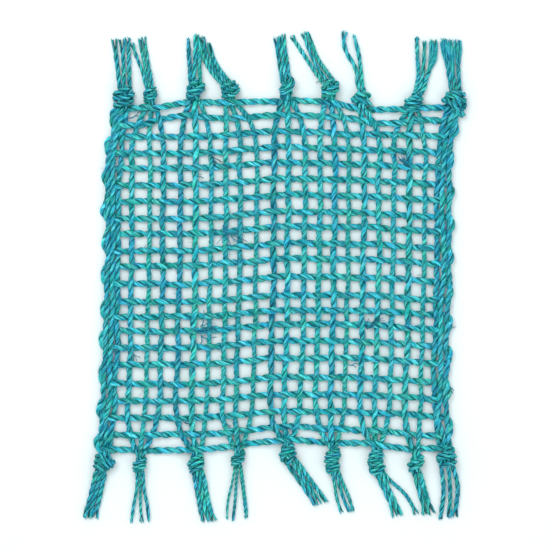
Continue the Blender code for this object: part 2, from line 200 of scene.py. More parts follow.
TUFT_RISE = {True: 0.03, False: 0.1}  # how steeply its fibres rise or fall
TUFT_SPREAD = 9  # how far apart they point, in degrees
TUFT_LENGTHS = (0.55, 1.0)  # as shares of the tuft's
TUFT_WIDTH = (0.4, 0.9)  # in mm
TUFT_LIGHT = (0.4, 0.8)
HAIRS_ON_A_WARP = 9
HAIR_LENGTH = (2.0, 6.5)
HAIR_WIDTH = (0.15, 0.3)
HAIR_LOOK = (0.6, 0.3, 0.75)  # curl, dye and light

# The twine. How something varies is given as a share and a wavelength.
WARP_WIDTH = 4.35 * MM
WEFT_WIDTH = 5.1 * MM
SELVEDGE_WIDTH = 4.3 * MM
WIDTH_VARIES = (0.06, 15 * MM)
FLATTENED = 0.82  # how far the weave presses its cords flat
WEFT_PITCH = 15.5 * MM
PITCH_VARIES = (0.12, 60 * MM)
STEP = 0.8 * MM
SEGMENTS = 10  # between two given points, before a line is evened out
PLIES = 2
SIDES = 10
PLY_OFFSET = 0.21  # from the middle of its twine, in twine widths
PLY_RADIUS = 0.285
PLY_THIN = 0.92  # how a ply's two radii compare with a round one's
PLY_WIDE = 1.12
LOWEST = 0.1 * MM  # above what the net lies on
LOWEST_MIDDLE = 1.1 * MM  # for a ply's middle, unless its whole twine lies lower
LUMPS = 0.05
LUMP_LENGTH = (6, 13)  # in mm
FIBRE_TWIST = 18 * MM  # in which a ply's own fibres go round it once
FIBRE_STRETCH = 14 * MM  # the length that counts as one unit of the fibre pattern
SLOW_DYE = (0.5, 48 * MM)
QUICK_DYE = (0.3, 17 * MM)
PLY_DYE = 0.15
LIGHT_VARIES = (0.16, 30 * MM)
PLY_LIGHT = 0.1
GROOVE_PAINTED_SHADE = 0.72  # painted shade: the share of its lightness that a ply's colour loses in the groove between two plies
# Where the painted groove shade begins, as the cosine of the angle to the other ply, and the span
# over which it deepens.
GROOVE_FROM = 0.35
GROOVE_SPAN = 0.75

# Cut ends: their plies part, loose fibres stick out, and the longest ones fan out flat.
SHORT_FRAY = (3, 9)  # how far a tail is untwisted, in mm, where its tassel doesn't say
LONG_FRAY = 15 * MM  # a longer one fans out
SHORT_SPREAD = 1.1  # how much further apart the plies of a short fray come
LONG_SPREAD = 1.45
FRAY_THINS = 0.25  # the share of its radius that a ply loses
UNTWISTED = 0.85  # the share of its twist that a fray loses, over the first third of it
TIP_FIBRES = 4  # at each ply's end
TIP_LENGTH = (1.6, 3.0)  # in mm
TIP_DEPTH = 1.5  # how far back from the tip each begins, in mm
RIBBON_FIBRES = 9
RIBBON_REACH = 0.74  # how far they reach to each side, in tail widths
RIBBON_OPENS = 12 * MM  # the length over which they come apart
RIBBON_RADIUS = (0.3, 0.55)  # in mm
FIBRE_POINTS = 10
FIBRE_STEP = 0.4 * MM
FIBRE_REST = 0.4 * MM  # how high a settled fibre's end lies


def seeded(name):
    """A random generator that gives the same draws for the same name each run."""
    return np.random.default_rng(zlib.crc32(name.encode()))


def wander(along, rng, share, wavelength, waves=3):
    """A smooth wandering value, about -share to share, at the distances along a cord."""
    value = np.zeros_like(along)
    for k in range(waves):
        phase = rng.uniform(0, 2 * math.pi)
        value += np.sin(2 * math.pi * along * 1.7**k / wavelength + phase) / 1.5**k
    return share * (value / 1.9)


def unit(vectors):
    """The same directions, one unit long."""
    return vectors / np.maximum(np.linalg.norm(vectors, axis=-1, keepdims=True), 1e-12)


def distances(path):
    """How far along a line each of its points is."""
    steps = np.linalg.norm(np.diff(path, axis=0), axis=1)
    return np.concatenate([[0.0], np.cumsum(steps)])


def evenly(path, step):
    """The same line with its points about one step apart."""
    along = distances(path)
    count = max(4, int(round(along[-1] / step)) + 1)
    wanted = np.linspace(0, along[-1], count)
    return np.column_stack([np.interp(wanted, along, path[:, k]) for k in range(path.shape[1])])


def curved(points, step=STEP, level=False):
    """A smooth line through the points. With level, each height eases into the next, so that
    the line is flat where it passes a point, as a woven cord is at a crossing."""
    points = np.array(points, float)
    padded = np.vstack([2 * points[0] - points[1], points, 2 * points[-1] - points[-2]])
    t = np.linspace(0, 1, SEGMENTS, endpoint=False)[:, None]
    pieces = []
    for a, b, c, d in zip(padded, padded[1:], padded[2:], padded[3:]):
        piece = 0.5 * (2 * b + (c - a) * t + (2 * a - 5 * b + 4 * c - d) * t**2
                       + (3 * b - a - 3 * c + d) * t**3)
        if level:
            piece[:, 2] = (b[2] + (c[2] - b[2]) * t * t * (3 - 2 * t))[:, 0]
        pieces.append(piece)
    return evenly(np.vstack([*pieces, points[-1:]]), step)


def carried_frames(path):
    """Two directions square to the path and each other that turn no more than they have to."""
    tangents = unit(np.gradient(path, axis=0))
    first = np.cross(tangents[0], UP)
    if np.linalg.norm(first) < 0.2:
        first = np.array((1.0, 0.0, 0.0))
    sides = [unit(first - tangents[0] * (first @ tangents[0]))]
    for after in tangents[1:]:
        side = sides[-1]
        sides.append(unit(side - after * (side @ after)))
    sides = np.array(sides)
    return sides, np.cross(tangents, sides)


# ---------------- plies and their meshes


class Ply:
    """A tube of rings, with where each point lies on the ply, which way its dye leans and how
    light it is, which includes a painted shade in the groove next to the other ply."""

    def __init__(self, rings, lay, tone, shade):
        self.rings, self.lay, self.tone, self.shade = rings, lay, tone, shade

    def part(self, first, last):
        """The stretch from one ring to another."""
        chosen = slice(max(first, 0), last + 1)
        return Ply(self.rings[chosen], self.lay[chosen], self.tone[chosen], self.shade[chosen])


def at_each(value, along):
    """A value for each point, from one value for all or one for each."""
    return np.broadcast_to(np.asarray(value, float), along.shape)


def ply_tube(centres, across, radius, rng, tone, sides=SIDES, flatten=None, core=None,
             squeezed=None, light=1.0):
    """One ply: a lumpy round of fibres that follows its centres. squeezed is the angle of the
    way in which the other ply presses it flat and where a painted shade darkens its colour in the
    groove between them, and flatten squashes it towards the core."""
    along = distances(centres)
    tangents = unit(np.gradient(centres, axis=0))
    across = unit(across - tangents * np.sum(across * tangents, axis=1, keepdims=True))
    other = np.cross(tangents, across)
    angle = np.arange(sides) * 2 * math.pi / sides
    lumps = np.ones((len(centres), sides))
    for turns in (2, 3, 4):
        phase = rng.uniform(0, 2 * math.pi)
        winding = 2 * math.pi * along[:, None] / (rng.uniform(*LUMP_LENGTH) * MM)
        lumps += LUMPS * np.sin(turns * angle[None, :] + phase + winding)
    lumps += wander(along, rng, LUMPS, LUMP_LENGTH[0] * MM)[:, None]
    reach = at_each(radius, along)[:, None] * lumps
    shade = np.repeat(at_each(light, along)[:, None], sides, 1)
    if squeezed is not None:
        # Painted shade: the colour darkens on the side that faces the other ply, in the groove
        # between them.
        turned = angle[None, :] - squeezed[:, None]
        painted_groove_shade = np.clip((GROOVE_FROM - np.cos(turned)) / GROOVE_SPAN, 0, 1)
        shade = shade * (1 - GROOVE_PAINTED_SHADE * painted_groove_shade)
        oval = np.hypot(PLY_WIDE * np.cos(turned), PLY_THIN * np.sin(turned))
        reach *= PLY_THIN * PLY_WIDE / oval
    rings = (centres[:, None, :]
             + (reach * np.cos(angle))[:, :, None] * across[:, None, :]
             + (reach * np.sin(angle))[:, :, None] * other[:, None, :])
    if flatten is not None:
        middle = core[:, None, 2]
        rings[:, :, 2] = middle + (rings[:, :, 2] - middle) * flatten[:, None]
    rings[:, :, 2] = np.maximum(rings[:, :, 2], LOWEST)
    spin = angle[None, :] - 2 * math.pi * along[:, None] / FIBRE_TWIST
    lengthwise = np.repeat(along[:, None] / FIBRE_STRETCH + rng.uniform(0, 50), sides, 1)
    lay = np.stack([np.cos(spin), np.sin(spin), lengthwise], -1)
    return Ply(rings, lay, np.repeat(at_each(tone, along)[:, None], sides, 1), shade)


def twisted(path, width, rng, pitch, tone=0.0, flatten=None, fray=(0.0, 0.0), light=1.0):
    """Twine along a path: plies that wind round each other right-handed. fray is the length
    over which they part at the path's start and end."""
    along = distances(path)
    width = at_each(width, along) * (1 + wander(along, rng, *WIDTH_VARIES))
    side, up = carried_frames(path)
    stretch = pitch * (1 + wander(along, rng, *PITCH_VARIES, waves=1))
    parting = np.zeros_like(along)
    if fray[0]:
        parting += np.clip(1 - along / fray[0], 0, 1)
    if fray[1]:
        parting += np.clip(1 - (along[-1] - along) / fray[1], 0, 1)
    apart = [LONG_SPREAD if length > LONG_FRAY else SHORT_SPREAD for length in fray]
    apart = np.where(along < along[-1] / 2, apart[0], apart[1])
    slower = 1 - UNTWISTED * np.minimum(parting * 3, 1)
    turn = np.cumsum(np.gradient(along) * 2 * math.pi / stretch * slower)
    turn += rng.uniform(0, 2 * math.pi)
    made = []
    for k in range(PLIES):
        angle = turn + 2 * math.pi * k / PLIES
        spoke = np.cos(angle)[:, None] * side + np.sin(angle)[:, None] * up
        spread = width * PLY_OFFSET * (1 + parting * apart)
        centres = path + spread[:, None] * spoke
        centres[:, 2] = np.maximum(centres[:, 2], np.minimum(path[:, 2], LOWEST_MIDDLE))
        radius = width * PLY_RADIUS * (1 - FRAY_THINS * parting)
        lean = tone + wander(along, rng, *SLOW_DYE) + wander(along, rng, *QUICK_DYE)
        gleam = light * (1 + PLY_LIGHT * rng.normal() + wander(along, rng, *LIGHT_VARIES))
        made.append(ply_tube(centres, side, radius, rng, lean + PLY_DYE * rng.normal(),
                             flatten=flatten, core=path, squeezed=angle, light=gleam))
    return made


def fibre(start, way, length, rng, width, curl, tone, light, settle=True):
    """One loose fibre. It curls, and comes down to what the net lies on if it settles."""
    way = unit(np.asarray(way, float))
    aside = unit(np.cross(way, UP) + 1e-6)
    t = np.linspace(0, 1, FIBRE_POINTS)[:, None]
    bend = rng.normal() * curl
    path = start + way * length * t + aside * length * bend * t**2
    path = path + aside * length * 0.06 * np.sin(t * rng.uniform(4, 9))
    if settle:
        path[:, 2] = path[:, 2] * (1 - t[:, 0] ** 2) + FIBRE_REST * t[:, 0] ** 2
    path = evenly(path, max(length / (FIBRE_POINTS - 1), FIBRE_STEP))
    side, _ = carried_frames(path)
    taper = width / 2 * (1 - 0.5 * np.linspace(0, 1, len(path)))
    return ply_tube(path, side, taper, rng, tone, sides=4, light=light)


def ribbon(path, opened, width, rng, look):
    """The fibres of a tail that came untwisted, fanned out flat beside its plies."""
    along = distances(path)
    fanned = path[along > along[-1] - opened]
    length = distances(fanned)
    side, _ = carried_frames(fanned)
    made = []
    for share in np.linspace(-1, 1, RIBBON_FIBRES):
        reach = RIBBON_REACH * width * (share + 0.1 * rng.normal())
        spread = np.clip(length / RIBBON_OPENS, 0, 1) * reach
        line = fanned + side * spread[:, None]
        line[:, 2] += wander(length, rng, 0.3 * MM, 12 * MM)
        line = line[:len(line) - rng.integers(0, 3)]
        across, _ = carried_frames(line)
        radius = rng.uniform(*RIBBON_RADIUS) * MM
        tone = look[2] + 0.2 * rng.normal()
        made.append(ply_tube(line, across, radius, rng, tone, sides=5,
                             light=look[3] * 1.1))
    return made


def mesh_of(name, plies, material):
    """One mesh of closed tubes, whose points keep their plies' values."""
    quads, fans, count = [], [], 0
    kept = {"rings": [], "lay": [], "tone": [], "shade": []}
    for ply in plies:
        steps, sides, _ = ply.rings.shape
        index = count + np.arange(steps * sides).reshape(steps, sides)
        after = np.roll(index, -1, axis=1)
        quad = np.stack([index[:-1], after[:-1], after[1:], index[1:]], -1)
        quads.append(quad.reshape(-1, 4))
        start = np.full(sides, count + steps * sides)
        fans.append(np.stack([start, after[0], index[0]], -1))
        fans.append(np.stack([start + 1, index[-1], after[-1]], -1))
        for label, rows in kept.items():
            values = getattr(ply, label)
            rows += [values.reshape(-1, *values.shape[2:]), values[[0, -1]].mean(axis=1)]
        count += steps * sides + 2
    mesh = bpy.data.meshes.new(name)
    mesh.from_pydata(np.vstack(kept.pop("rings")), [],
                     [*np.vstack(quads).tolist(), *np.vstack(fans).tolist()])
    for label, rows in kept.items():
        kind, field = ("FLOAT_VECTOR", "vector") if label == "lay" else ("FLOAT", "value")
        values = mesh.attributes.new(label, kind, "POINT")
        values.data.foreach_set(field, np.concatenate(rows).astype(np.float32).ravel())
    mesh.materials.append(material)
    mesh.shade_smooth()
    obj = bpy.data.objects.new(name, mesh)
    bpy.context.scene.collection.objects.link(obj)
    return obj


# ---------------- materials

GREENS = ((0, 104, 98), (4, 176, 162), (122, 236, 226))
BLUES = ((0, 88, 118), (0, 156, 192), (108, 220, 240))
DYE_STOPS = (0.38, 0.5, 0.63)


def linear(red, green, blue):
    """A colour given in the usual 0 to 255 display values."""
    shares = np.array((red, green, blue)) / 255
    return tuple(np.where(shares < 0.04045, shares / 12.92, ((shares + 0.055) / 1.055) ** 2.4))


def ramp(nodes, colours):
    """A colour ramp over the middle of the fibre pattern's range."""
    node = nodes.new("ShaderNodeValToRGB")
    node.color_ramp.elements.new(0.5)
    for element, place, colour in zip(node.color_ramp.elements, DYE_STOPS, colours):
        element.position = place
        element.color = (*linear(*colour), 1.0)
    return node


def stored(nodes, label):
    """A node that reads one of the values that each point of a mesh has."""
    node = nodes.new("ShaderNodeAttribute")
    node.attribute_name = label
    return node


def preset(nodes, kind, values):
    """A node of the given kind with these values on its sockets."""
    node = nodes.new(kind)
    for socket, value in values.items():
        node.inputs[socket].default_value = value
    return node


def dyed_twine(name, hue_shift):
    """Dyed grass: fibres that streak along each ply, dye that took unevenly, and a waxy shine."""
    material = bpy.data.materials.new(name)
    material.use_nodes = True
    nodes, links = material.node_tree.nodes, material.node_tree.links
    shader = nodes["Principled BSDF"]
    shader.inputs["Specular IOR Level"].default_value = 0.16

    lay, tone, shade = [stored(nodes, label) for label in ("lay", "tone", "shade")]
    fibres = preset(nodes, "ShaderNodeTexNoise", {"Scale": 2.4, "Detail": 4.0, "Roughness": 0.7})
    place = nodes.new("ShaderNodeTexCoord")
    blotches = preset(nodes, "ShaderNodeTexNoise", {"Scale": 130.0, "Detail": 3.0})
    greens, blues = ramp(nodes, GREENS), ramp(nodes, BLUES)
    # The tone and the blotches choose between green and blue, and the shade scales the colour by
    # each ply's lightness and by a painted shade in the grooves between plies.
    dye = preset(nodes, "ShaderNodeMath", {1: 0.42, 2: hue_shift})
    dye.operation = "MULTIPLY_ADD"
    uneven = preset(nodes, "ShaderNodeMapRange", {"From Min": 0.35, "From Max": 0.65,
                                                  "To Min": -0.32, "To Max": 0.32})
    hue = nodes.new("ShaderNodeMath")
    hue.operation = "ADD"
    hue.use_clamp = True
    colour = nodes.new("ShaderNodeMix")
    colour.data_type = "RGBA"
    lit = nodes.new("ShaderNodeVectorMath")
    lit.operation = "SCALE"
    gloss = preset(nodes, "ShaderNodeMapRange", {"To Min": 0.7, "To Max": 0.45})
    bump = preset(nodes, "ShaderNodeBump", {"Strength": 0.6, "Distance": 0.3 * MM})
    for source, output, target, socket in (
            (lay, "Vector", fibres, "Vector"), (place, "Object", blotches, "Vector"),
            (fibres, "Fac", greens, "Fac"), (fibres, "Fac", blues, "Fac"),
            (tone, "Fac", dye, 0), (blotches, "Fac", uneven, "Value"),
            (dye, 0, hue, 0), (uneven, "Result", hue, 1), (hue, 0, colour, "Factor"),
            (greens, "Color", colour, "A"), (blues, "Color", colour, "B"),
            (colour, "Result", lit, 0), (shade, "Fac", lit, "Scale"),
            (lit, "Vector", shader, "Base Color"), (fibres, "Fac", gloss, "Value"),
            (gloss, "Result", shader, "Roughness"), (fibres, "Fac", bump, "Height"),
            (bump, "Normal", shader, "Normal")):
        links.new(source.outputs[output], target.inputs[socket])
    return material


WARP_TWINE = dyed_twine("warp twine", 0.45)
SELVEDGE_TWINE = dyed_twine("selvedge twine", 0.50)
WEFT_TWINE = dyed_twine("weft twine", 0.45)
FRINGE_TWINE = dyed_twine("fringe twine", 0.40)
LOOSE_TWINE = dyed_twine("loose fibre", 0.95)


# ---------------- the weave


def is_selvedge(warp):
    """Whether a warp is one of the close ones at the edges."""
    return not SELVEDGE_WARPS <= warp < WARPS - SELVEDGE_WARPS


def is_outer(warp):
    """The two warps of each selvedge nearest the edge, which the weft always passes under."""
    return warp < SELVEDGE_WARPS - 1 or warp > WARPS - SELVEDGE_WARPS


def warp_node(warp):
    """The name of a warp's CAD node."""
    if warp < SELVEDGE_WARPS:
        return f"left_selvedge_warp_{warp + 1}"
    if is_selvedge(warp):
        return f"right_selvedge_warp_{warp - WARPS + SELVEDGE_WARPS + 1}"
    return f"warp_{warp - SELVEDGE_WARPS + 1:02d}"


def grouped(tassels):
    """For each warp, which of the tassels it is tied in, and its place among the warps there."""
    found = []
    for number, (_, tips, _) in enumerate(tassels):
        found += [(number, place, len(tips)) for place in range(len(tips))]
    return found


TOP_GROUPS, BOTTOM_GROUPS = grouped(TOP_TASSELS), grouped(BOTTOM_TASSELS)


def row_y(row, x):
    """The height up the net of a row at a place across it."""
    if row in EDGE_ROWS:
        route = np.array(EDGE_ROWS[row]) * MM
        return float(np.interp(x, route[:, 0], route[:, 1]))
    route = np.array(ARCH) * MM
    sag = SAG * SAG_SHARES.get(row, 0.0) * math.exp(-(((x - SAG_X) / SAG_WIDTH) ** 2))
    return ROW_Y[row] + float(np.interp(x, route[:, 0], route[:, 1])) - sag


def drawn_in(warp, row, x):
    """A warp's x in a row near a knot, which draws its warps together."""
    shares = SELVEDGE_GATHER if is_selvedge(warp) else GATHER
    for tassels, groups, steps in ((TOP_TASSELS, TOP_GROUPS, row),
                                   (BOTTOM_TASSELS, BOTTOM_GROUPS, ROWS - 1 - row)):
        if steps < len(shares):
            number, place, count = groups[warp]
            knot_x = tassels[number][0][0] * MM
            target = knot_x + (place - (count - 1) / 2) * KNOT_SPACING
            x += (target - x) * shares[steps]
    return x


def crossing(warp, row):
    """Where a warp meets a row, in x and y."""
    y = ROW_Y[row]
    x = drawn_in(warp, row, LANES[warp] + LEAN * y + BOW * y * y)
    return x, row_y(row, x)


def bundle_of(warp):
    """0 for the left selvedge, 1 to 20 for the open warps, 21 for the right selvedge."""
    return min(max(warp - SELVEDGE_WARPS + 1, 0), WARPS - 2 * SELVEDGE_WARPS + 1)


def weft_is_over(warp, row):
    """Plain weave, but for the first and last rows, which pass each knot's warps as one."""
    if row == 0:
        return TOP_GROUPS[warp][0] % 2 == 1
    if row == ROWS - 1:
        return BOTTOM_GROUPS[warp][0] % 2 == 0
    return (row + 1 + bundle_of(warp)) % 2 == 0


def warp_weave(warp):
    """The warp's line from the last row up to the first."""
    rng = seeded(f"warp {warp}")
    points = []
    for row in reversed(range(ROWS)):
        x, y = crossing(warp, row)
        rise = -OVER_RISE if weft_is_over(warp, row) else OVER_RISE
        sway = rng.normal(0, WARP_SWAY) * MM
        if is_selvedge(warp):
            sway = rng.normal(0, SELVEDGE_SWAY) * MM
        if is_outer(warp) and 0 < row < ROWS - 1:
            rise = OVER_RISE + rng.uniform(*OUTER_RISE) * MM
        grown = min(row, ROWS - 1 - row, SWAY_ROWS)
        points.append((x + sway * grown / SWAY_ROWS, y, MID_HEIGHT + rise))
    return curved(points, level=True)


def weft_line():
    """The whole weft, from the right end of the first row to the right end of the last, and
    where along it each pair of rows begins."""
    rng = seeded("weft")
    points, marks = [np.array(spot) * MM for spot in WEFT_STUB], []
    for row in range(ROWS):
        leftward = row % 2 == 0
        order = range(WARPS - 1, -1, -1) if leftward else range(WARPS)
        if leftward:
            marks.append(len(points))
        for warp in order:
            x, y = crossing(warp, row)
            over = weft_is_over(warp, row) and not (is_outer(warp) and 0 < row < ROWS - 1)
            rise = OVER_RISE if over else -OVER_RISE
            points.append((x, y + rng.normal(0, WEFT_SWAY) * MM, MID_HEIGHT + rise))
        if row < ROWS - 1:
            edge, way, height, reach = ((min, -1, LEFT_TURN, LEFT_REACH) if leftward
                                        else (max, 1, RIGHT_TURN, RIGHT_REACH))
            outer = edge(points[-1][0], crossing(order[-1], row + 1)[0])
            upper = points[-1][1]
            lower = row_y(row + 1, outer)
            if row < len(FIRST_TURNS):
                reach = FIRST_TURNS[row]
            reach *= rng.uniform(*REACH_VARIES)
            for share, out in TURN_SHAPE:
                points.append((outer + way * reach * out, upper + (lower - upper) * share,
                               height + rng.normal(0, TURN_SWAY) * MM))
    return points, marks


# ---------------- knots and tails

# An overhand knot: across, along the tassel, and up, in knot radii.
OVERHAND = ((-0.1, -1.3, -0.1), (-0.25, -0.8, -0.1), (-0.45, 0, -0.35), (-0.2, 0.75, -0.25),
            (0.45, 0.95, 0.1), (0.95, 0.5, 0.5), (0.4, 0, 0.95), (-0.5, -0.45, 0.85),
            (-1, -0.6, 0.1), (-0.5, -0.65, -0.75), (0.4, -0.45, -0.85), (0.75, -0.1, -0.2),
            (0.45, 0.3, 0.3), (0.1, 0.9, 0.2), (0, 1.3, 0))
# The same with one more turn round itself.
DOUBLE_OVERHAND = ((-0.1, -1.6, -0.1), (-0.25, -1.1, -0.1), (-0.4, -0.2, -0.3), (-0.2, 1, -0.25),
                   (0.45, 1.3, 0.1), (0.95, 0.95, 0.5), (0.4, 0.6, 0.95), (-0.5, 0.35, 0.85),
                   (-1, 0.25, 0.1), (-0.5, 0.2, -0.75), (0.4, 0.15, -0.85), (1, 0, 0.1),
                   (0.4, -0.3, 0.95), (-0.5, -0.6, 0.85), (-1, -0.75, 0.1), (-0.5, -0.8, -0.75),
                   (0.4, -0.6, -0.85), (0.7, -0.2, -0.2), (0.4, 0.3, 0.2), (0.1, 1.2, 0.2),
                   (0, 1.6, 0))
KNOT_RADIUS = 7.5 * MM
KNOT_HEIGHT = 5 * MM
KNOT_STEP = 1.5 * MM
KNOT_UPRIGHT = 0.8  # how far a knot keeps to the warps' way where its tails lean
STRAND_SPACING = 0.95  # side by side in a knot, in strand widths
STRAND_WAVER = 0.15 * MM
TIGHTENING_ROUNDS = 300
SHORTENING = 0.35
CONTACT_PUSH = 0.4
MOST_PUSH = 0.5 * MM
STRAND_GAP = 0.88  # how near two strands come, in strand widths
NEXT_POINTS = 4  # points of one strand nearer than this along it don't push each other

# The tails, in mm where nothing else is said.
LEAVING = 8.5  # how far from the knot's middle they begin
LEAVING_SPACING = 0.62  # side by side there, in strand widths
LEAVING_DROP = 2.2  # below the knot's middle
LEAVING_RISE = 0.75  # of the middle one of three, in strand widths
SMOOTHED_POINTS = 4  # left out at a strand's end, so that its tail leaves smoothly
NECK_LENGTH = 9  # from where tails begin to the end of a neck
STRAIGHT_BENDS = (0.3, 0.65)  # how far along a tail whose tassel gives only its tip bends
STRAIGHT_BOW = 0.5
TAIL_HEIGHTS = (3.2 * MM, 2.2 * MM, 1.8 * MM)  # at those bends and at the tip
BEND_HEIGHT = 2.4 * MM
PARTING_ROUNDS = 60
PARTING_FROM = 2 * MM  # tails push each other apart from this far before their beginning
PARTING_EASE = 5 * MM
PARTING_SMOOTHS = 0.3
TAIL_GAP = 0.9  # how near two tails come, in tail widths
NEAREST = 0.1 * MM


def tied(middle, way, starts, ends, style, rng):
    """The strands of one knot, from where each enters to where each leaves, drawn tight."""
    cord = style["cord"] * MM
    across = np.array((way[1], -way[0], 0.0))
    base = np.array(DOUBLE_OVERHAND if style.get("double") else OVERHAND) * KNOT_RADIUS
    base[:, 0] *= style["wide"]
    base[:, 1] *= style["tall"]
    angle = math.radians(style["tilt"])
    turned = base[:, :2] @ np.array(((math.cos(angle), math.sin(angle)),
                                     (-math.sin(angle), math.cos(angle))))
    base[2:-2, :2] = turned[2:-2]
    line = curved(base, KNOT_STEP)
    tangents = unit(np.gradient(line, axis=0))
    outward = line * np.array((1.0, 0.0, 1.0)) + UP * 0.3 * KNOT_RADIUS
    beside = unit(np.cross(tangents, unit(outward)) + np.array((0.0, 0.05, 0.0)))
    choices = []
    for order in (1, -1):
        strands, crossed = [], 0.0
        for place, (start, end) in enumerate(zip(starts, ends)):
            offset = (place - (len(starts) - 1) / 2) * cord * STRAND_SPACING * order
            local = line + beside * offset
            world = (middle + local[:, :1] * across + local[:, 1:2] * way + local[:, 2:] * UP)
            world = world + rng.normal(0, STRAND_WAVER, world.shape)
            crossed += np.linalg.norm(world[-1] - end)
            strands.append(np.vstack([np.linspace(start, world[0], 4)[:-1], world,
                                      np.linspace(world[-1], end, 4)[1:]]))
        choices.append((crossed, order, strands))
    strands = min(choices)[2]
    count = min(len(strand) for strand in strands)
    cords = np.array([evenly(s, distances(s)[-1] / (count - 1))[:count] for s in strands])
    cords[:, 0] = starts
    cords[:, -1] = ends
    return drawn_tight(cords, cord)


def drawn_tight(cords, width):
    """Each strand shortens as far as the others and the table let it."""
    number, count, _ = cords.shape
    owner = np.repeat(np.arange(number), count)
    place = np.tile(np.arange(count), number)
    steps = np.abs(place[:, None] - place[None, :])
    near = (owner[:, None] == owner[None, :]) & (steps < NEXT_POINTS)
    first, second = np.nonzero(np.triu(~near, 1))
    held = (place == 0) | (place == count - 1)
    gap = width * STRAND_GAP
    for _ in range(TIGHTENING_ROUNDS):
        middle = (cords[:, :-2] + cords[:, 2:]) / 2
        cords[:, 1:-1] += SHORTENING * (middle - cords[:, 1:-1])
        flat = cords.reshape(-1, 3)
        for _ in range(3):
            between = flat[first] - flat[second]
            length = np.linalg.norm(between, axis=1)
            close = np.nonzero(length < gap)[0]
            push = between[close] / np.maximum(length[close], 1e-6)[:, None]
            push *= ((gap - length[close]) * CONTACT_PUSH)[:, None]
            moved = np.zeros_like(flat)
            np.add.at(moved, first[close], push)
            np.add.at(moved, second[close], -push)
            size = np.linalg.norm(moved, axis=1, keepdims=True)
            moved *= np.minimum(1.0, MOST_PUSH / np.maximum(size, 1e-9))
            moved[held] = 0
            flat += moved
            flat[:, 2] = np.maximum(flat[:, 2], width / 2)
        cords = flat.reshape(number, count, 3)
    return cords


def parted(lines, knots, widths):
    """The tails of one tassel, pushed apart past their knot until none runs through another."""
    counts = [len(line) for line in lines]
    owner = np.repeat(np.arange(len(lines)), counts)
    beyond = [distances(line) - knot + PARTING_FROM for line, knot in zip(lines, knots)]
    free = np.clip(np.concatenate(beyond) / PARTING_EASE, 0, 1)
    thick = np.array(widths)[owner]
    points = np.vstack(lines)
    loose = np.nonzero(free > 0)[0]
    first, second = np.nonzero(owner[loose][:, None] < owner[loose][None, :])
    first, second = loose[first], loose[second]
    gap = (thick[first] + thick[second]) / 2 * TAIL_GAP
    last = np.cumsum(counts) - 1
    index = np.setdiff1d(np.arange(len(points)), [0, *last, *(last + 1)])
    for _ in range(PARTING_ROUNDS):
        between = points[first] - points[second]
        length = np.linalg.norm(between, axis=1)
        close = np.nonzero(length < gap)[0]
        overlap = (gap[close] - length[close]) / np.maximum(length[close], NEAREST)
        push = between[close] * overlap[:, None]
        moved = np.zeros_like(points)
        hits = np.zeros(len(points))
        for end, sign in ((first, 1), (second, -1)):
            np.add.at(moved, end[close], sign * push * CONTACT_PUSH)
            np.add.at(hits, end[close], 1)
        points += moved / np.maximum(hits, 1)[:, None] * free[:, None]
        middle = (points[index - 1] + points[index + 1]) / 2
        points[index] += PARTING_SMOOTHS * (middle - points[index]) * free[index][:, None]
        points[:, 2] = np.where(free > 0, np.maximum(points[:, 2], thick / 2), points[:, 2])
    return np.split(points, last[:-1] + 1)


def laid_out(point, height=0.0):
    """A place in the net's plane, given in x and y, at a height."""
    return np.array((point[0], point[1], height))


def tail_bends(tip, root, neck, style, rng):
    """The places that a tail passes through on the way to its tip."""
    bends = [laid_out(point, BEND_HEIGHT) for point in tip]
    if len(bends) == 1:
        near, far = [root + (bends[0] - root) * share for share in STRAIGHT_BENDS]
        near += (neck - near) * style.get("neck", 0.0)
        far += np.array((rng.normal(0, STRAIGHT_BOW) * MM, 0, 0))
        near[2] = min(root[2], TAIL_HEIGHTS[0])
        far[2] = TAIL_HEIGHTS[1]
        bends = [near, far, *bends]
    bends[-1][2] = TAIL_HEIGHTS[2]
    return bends


